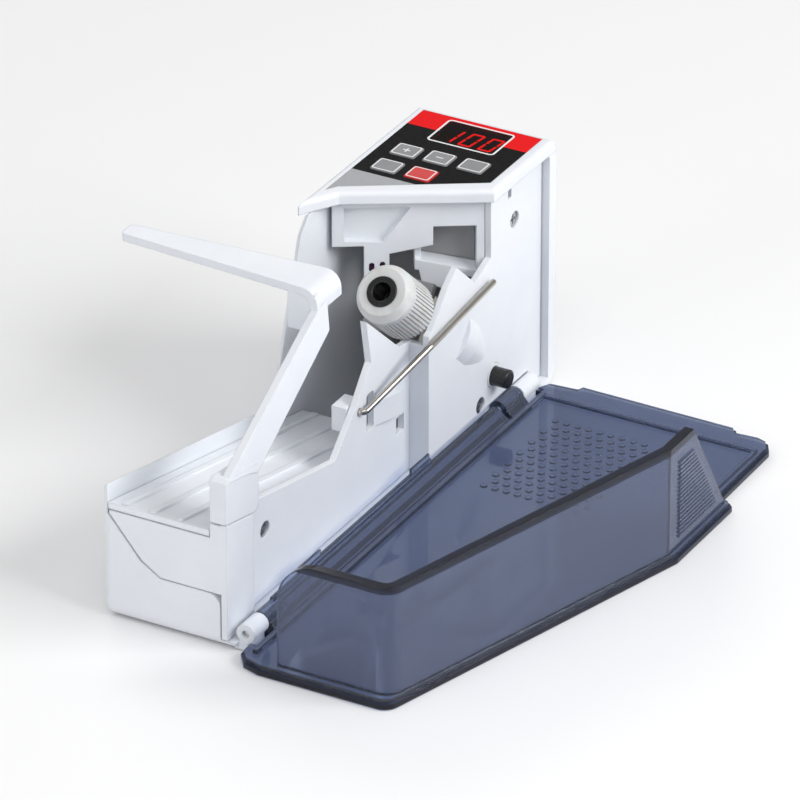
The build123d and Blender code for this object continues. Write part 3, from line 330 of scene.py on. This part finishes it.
SMOKE, WINDOW_MAT, LABEL = smoky_clear(), window_glass(), label_film()
KEY_GREY = key_film("key_grey", (0.24, 0.245, 0.255), (0.19, 0.195, 0.205))
KEY_RED = key_film("key_red", (0.62, 0.022, 0.020), (0.52, 0.016, 0.016))
ROLLER, BOARD = roller_rubber(), circuit_green()
SENSOR = plastic("sensor_dark", (0.05, 0.012, 0.04), (0.03, 0.01, 0.028), rough=(0.10, 0.2), scuffs=0.2)
SLEEVE = plastic("cell_sleeve", (0.05, 0.07, 0.12), (0.04, 0.05, 0.09), rough=(0.16, 0.3))
INK_WHITE = print_ink("ink_white", (0.80, 0.80, 0.80))
DISPLAY = plastic("display_face", (0.008, 0.006, 0.006), (0.005, 0.004, 0.004), rough=(0.4, 0.6),
                  edge_tint=(0.015, 0.012, 0.012))
LIT = lit_segment("segment_lit", (0.80, 0.016, 0.010), 6.0)
UNLIT = print_ink("segment_dark", (0.012, 0.003, 0.003))

MATERIAL_NODES = (
    (WHITE, ("rear_shell", "front_panel", "top_cover", "note_arm", "battery_door", "switch_collar",
             "feed_guide", "hopper_floor", "arm_pivot", "wire_anchor")),
    # painted shade: the recess plate is a grey sheet set where the inside of the recess is in shade; the
    # cradle and the battery box are real inner parts, made dark grey to match the shaded space behind the
    # roller
    (GREY_INNER, ("motor_cradle", "battery_box", "recess_plate")),
    (SMOKE, ("tray_cover",)),
    (WINDOW_MAT, ("display_window",)),
    (LABEL, ("control_label",)),
    (DISPLAY, ("led_display",)),
    (BOARD, ("control_board", "main_board")),
    (BOARD_BLACK, ("tact_switches", "lid_switch")),
    (KEY_GREY, ("plus_button", "minus_button", "batch_button", "add_button")),
    (KEY_RED, ("start_button",)),
    (ROLLER, ("count_roller",)),
    (BLACK, ("roller_hub", "switch_plunger", "dc_jack")),
    (STEEL, ("roller_shaft", "motor_shaft", "hinge_pins")),
    (WIRE, ("wire_guide",)),
    (NYLON, ("drive_gear",)),
    (BRASS, ("motor_pinion", "shaft_bushes")),
    (CAN, ("drive_motor",)),
    (SENSOR, ("note_sensors",)),
    (SLEEVE, ("battery_cells",)),
    (PLATED, ("battery_contacts", "housing_screws")),
)
SHARP_FROM = radians(28)
for material, names in MATERIAL_NODES:
    for name in names:
        mesh = NODES[name].data
        mesh.materials.clear()
        mesh.materials.append(material)
        mesh.shade_smooth()
        mesh.set_sharp_from_angle(angle=SHARP_FROM)


# ---- small printed and lit pieces ----------------------------------------------------------------
def piece(name, material, rides, shapes):
    """One mesh of thin solids: each shape is an outline in millimetres and its low and high z."""
    mesh = bpy.data.meshes.new(name)
    made = bmesh.new()
    for outline, low, high in shapes:
        bottom = [made.verts.new(body(x, y, low)) for x, y in outline]
        top = [made.verts.new(body(x, y, high)) for x, y in outline]
        made.faces.new(list(reversed(bottom)))
        made.faces.new(top)
        for i in range(len(outline)):
            j = (i + 1) % len(outline)
            made.faces.new((bottom[i], bottom[j], top[j], top[i]))
    bmesh.ops.recalc_face_normals(made, faces=made.faces)
    made.to_mesh(mesh)
    made.free()
    mesh.materials.append(material)
    result = bpy.data.objects.new(name, mesh)
    bpy.context.collection.objects.link(result)
    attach(result, rides)
    return result


def bar(low_x, low_y, high_x, high_y):
    """A rectangle's four corners."""
    return [(low_x, low_y), (high_x, low_y), (high_x, high_y), (low_x, high_y)]


def frame_shapes(low_x, low_y, high_x, high_y, width, low, high, corner=1.0):
    """Four bars and four corner pieces that make a rounded outline."""
    shapes = [
        (bar(low_x + corner, low_y, high_x - corner, low_y + width), low, high),
        (bar(low_x + corner, high_y - width, high_x - corner, high_y), low, high),
        (bar(low_x, low_y + corner, low_x + width, high_y - corner), low, high),
        (bar(high_x - width, low_y + corner, high_x, high_y - corner), low, high),
    ]
    centres = ((low_x + corner, low_y + corner, pi), (high_x - corner, low_y + corner, 1.5 * pi),
               (high_x - corner, high_y - corner, 0), (low_x + corner, high_y - corner, 0.5 * pi))
    steps = 5
    for centre_x, centre_y, start in centres:
        for k in range(steps):
            a, b = start + k * pi / 2 / steps, start + (k + 1) * pi / 2 / steps
            ring = ((corner - width, a), (corner, a), (corner, b), (corner - width, b))
            shapes.append(([(centre_x + r * cos(t), centre_y + r * sin(t)) for r, t in ring], low, high))
    return shapes


window_low, window_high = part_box("display_window")
low_x, low_y = (window_low[0] - X0) * 1000, (window_low[1] - Y0) * 1000
high_x, high_y = (window_high[0] - X0) * 1000, (window_high[1] - Y0) * 1000
LABEL_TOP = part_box("control_label")[1][2] * 1000
OUTLINE_GAP, OUTLINE_W = 0.75, 0.62     # the white line round the window, in millimetres
piece("window_outline", INK_WHITE, "body",
      frame_shapes(low_x - OUTLINE_GAP, low_y - OUTLINE_GAP, high_x + OUTLINE_GAP, high_y + OUTLINE_GAP,
                   OUTLINE_W, LABEL_TOP - 0.02, LABEL_TOP + 0.05, 1.5))

# seven-segment digits: their tops point to the far end, and they read from the back to the front
DISPLAY_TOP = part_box("led_display")[1][2] * 1000
DIGIT_W, DIGIT_H, STROKE, LEAN = 4.3, 8.6, 0.66, 0.14
FIRST_DIGIT, DIGIT_PITCH = 9.3, 6.7     # from the window's middle to the first digit, and on to the next
SEGMENTS = {"0": "abcdef", "1": "bc"}


def segment_outlines(across):
    """The seven segments of a digit whose left edge is at y = across, as outlines in the body's x and y."""
    base = (low_x + high_x) / 2 - DIGIT_H / 2
    half = DIGIT_H / 2
    bars = {
        "a": (0.35, DIGIT_H - STROKE, DIGIT_W - 0.35, DIGIT_H),
        "b": (DIGIT_W - STROKE, half + 0.3, DIGIT_W, DIGIT_H - 0.4),
        "c": (DIGIT_W - STROKE, 0.4, DIGIT_W, half - 0.3),
        "d": (0.35, 0, DIGIT_W - 0.35, STROKE),
        "e": (0, 0.4, STROKE, half - 0.3),
        "f": (0, half + 0.3, STROKE, DIGIT_H - 0.4),
        "g": (0.35, half - STROKE / 2, DIGIT_W - 0.35, half + STROKE / 2),
    }
    for key, (u0, v0, u1, v1) in bars.items():
        yield key, [(base + v, across - (u + LEAN * v)) for u, v in bar(u0, v0, u1, v1)]


lit, dark = [], []
middle_y = (low_y + high_y) / 2
for place, digit in enumerate("100"):
    for key, outline in segment_outlines(middle_y + FIRST_DIGIT - place * DIGIT_PITCH):
        (lit if key in SEGMENTS[digit] else dark).append((outline, DISPLAY_TOP - 0.01, DISPLAY_TOP + 0.12))
piece("lit_segments", LIT, "body", lit)
piece("dark_segments", UNLIT, "body", dark)

# key outlines, with a plus and a minus
KEY_W, KEY_H = 7.4, 8.4         # the keys' upper faces, in millimetres
KEY_INSET, KEY_LINE, KEY_CORNER = 0.35, 0.4, 0.9
SIGN_HALF, SIGN_LINE = 1.2, 0.22    # half the sign's length and half its width
KEYS = {"plus_button": "plus_key", "minus_button": "minus_key", "batch_button": "batch_key",
        "add_button": "add_key", "start_button": "start_key"}
for node, rides in KEYS.items():
    low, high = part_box(node)
    cx, cy = ((low[0] + high[0]) / 2 - X0) * 1000, ((low[1] + high[1]) / 2 - Y0) * 1000
    half_x, half_y = KEY_W / 2 - KEY_INSET, KEY_H / 2 - KEY_INSET
    ink_low, ink_high = high[2] * 1000 - 0.03, high[2] * 1000 + 0.02
    shapes = frame_shapes(cx - half_x, cy - half_y, cx + half_x, cy + half_y,
                          KEY_LINE, ink_low, ink_high, KEY_CORNER)
    if node in ("plus_button", "minus_button"):
        long_bar = bar(cx - SIGN_LINE, cy - SIGN_HALF, cx + SIGN_LINE, cy + SIGN_HALF)
        shapes.append((long_bar, ink_low, ink_high))
    if node == "plus_button":
        far_bar = bar(cx + SIGN_LINE, cy - SIGN_LINE, cx + SIGN_HALF, cy + SIGN_LINE)
        near_bar = bar(cx - SIGN_HALF, cy - SIGN_LINE, cx - SIGN_LINE, cy + SIGN_LINE)
        shapes.append((far_bar, ink_low, ink_high))
        shapes.append((near_bar, ink_low, ink_high))
    piece(node.replace("button", "key_print"), INK_WHITE, rides, shapes)


# ---- floor, light and sky ------------------------------------------------------------------------
def floor_material():
    """Pale studio floor with a faint tone drift."""
    s = Shader("studio_floor")
    tone = s.mix(s.noise(3, 3, 0.5), (0.90, 0.90, 0.905), (0.88, 0.88, 0.885))
    s.finish(Base_Color=tone, Roughness=s.ramp(s.noise(60), 0.3, 0.7, 0.55, 0.7), Specular_IOR_Level=0.2)
    return s.material


floor_mesh = bpy.data.meshes.new("floor")
FLOOR_HALF, FLOOR_GAP = 6, 0.0004       # half the floor's width and its gap under the object, in metres
floor_mesh.from_pydata([(x, y, 0) for x, y in bar(-FLOOR_HALF, -FLOOR_HALF, FLOOR_HALF, FLOOR_HALF)],
                       [], [(0, 1, 2, 3)])
floor_mesh.materials.append(floor_material())
floor = bpy.data.objects.new("floor", floor_mesh)
floor.location.z = -FLOOR_GAP
bpy.context.collection.objects.link(floor)


def area_light(name, place, target, size, power):
    """A soft rectangular light at a place, turned to a target, with its power in watts."""
    data = bpy.data.lights.new(name, "AREA")
    data.shape = "RECTANGLE"
    data.size, data.size_y = size
    data.energy = power
    light = bpy.data.objects.new(name, data)
    light.location = place
    light.rotation_euler = (Vector(target) - Vector(place)).to_track_quat("-Z", "Y").to_euler()
    bpy.context.collection.objects.link(light)


area_light("key_light", (-0.75, -0.35, 1.35), (0, 0, 0.03), (0.8, 0.8), 4.2)
area_light("front_light", (0.15, -1.35, 0.95), (0, 0, 0.04), (1.3, 0.6), 20)
area_light("left_light", (-1.3, 0.4, 0.5), (0, 0, 0.04), (0.6, 0.8), 3)
area_light("back_light", (0.9, 1.0, 1.0), (0, 0, 0.05), (0.9, 0.6), 4)

# a little brighter overhead than at the horizon, so that smooth surfaces show a gradient
world = bpy.data.worlds.new("studio")
world.use_nodes = True
world_nodes, world_links = world.node_tree.nodes, world.node_tree.links
sky = world_nodes.new("ShaderNodeTexCoord")
height = world_nodes.new("ShaderNodeSeparateXYZ")
sky_ramp = world_nodes.new("ShaderNodeMapRange")
for key, number in (("From Min", -0.1), ("From Max", 0.9), ("To Min", 0.42), ("To Max", 0.47)):
    sky_ramp.inputs[key].default_value = number
world_links.new(sky.outputs["Generated"], height.inputs["Vector"])
world_links.new(height.outputs["Z"], sky_ramp.inputs["Value"])
world_links.new(sky_ramp.outputs["Result"], world_nodes["Background"].inputs["Strength"])
world_nodes["Background"].inputs["Color"].default_value = (1.0, 1.0, 1.0, 1.0)
bpy.context.scene.world = world
bpy.context.scene.view_settings.view_transform = "Standard"
